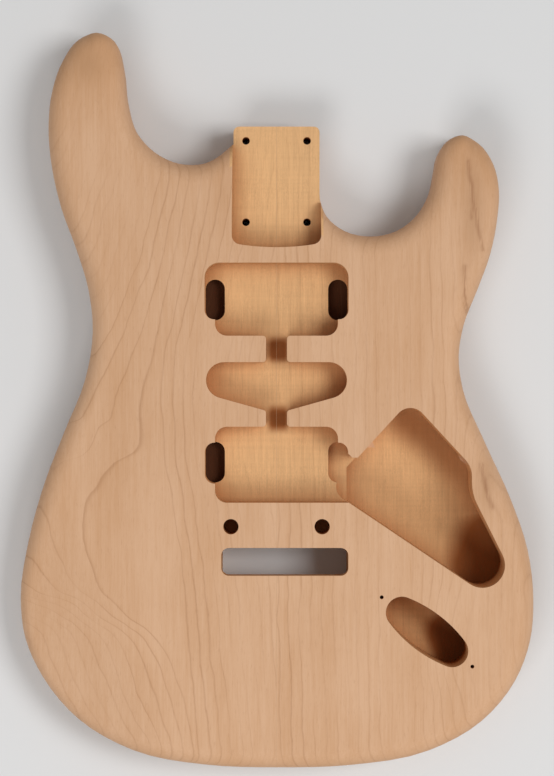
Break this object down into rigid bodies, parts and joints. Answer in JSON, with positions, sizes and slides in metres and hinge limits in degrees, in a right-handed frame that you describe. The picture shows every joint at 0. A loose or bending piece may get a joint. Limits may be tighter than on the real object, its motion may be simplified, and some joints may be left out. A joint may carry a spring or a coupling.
{
  "type": "electric guitar body",
  "caption": "Bare solid-wood electric guitar body, edge-glued from two boards, double cutaway, routed for a bolt-on neck, pickups, controls and tremolo.",
  "frame": {"origin": "middle of the body's length and width, on its flat back face", "axes": "+X to the treble side, +Y along the body towards the neck, +Z out of the front face; the body lies on its back"},
  "size_m": [0.32, 0.4572, 0.0444],
  "materials": {
    "bass_side_board": "sanded bare wood",
    "treble_side_board": "sanded bare wood",
    "centre_glue_line": "dried clear wood glue, scraped flush"
  },
  "bodies": {
    "root": {"bass_side_board": "bass_side_board", "treble_side_board": "treble_side_board", "centre_glue_line": "centre_glue_line"}
  },
  "joints": []
}
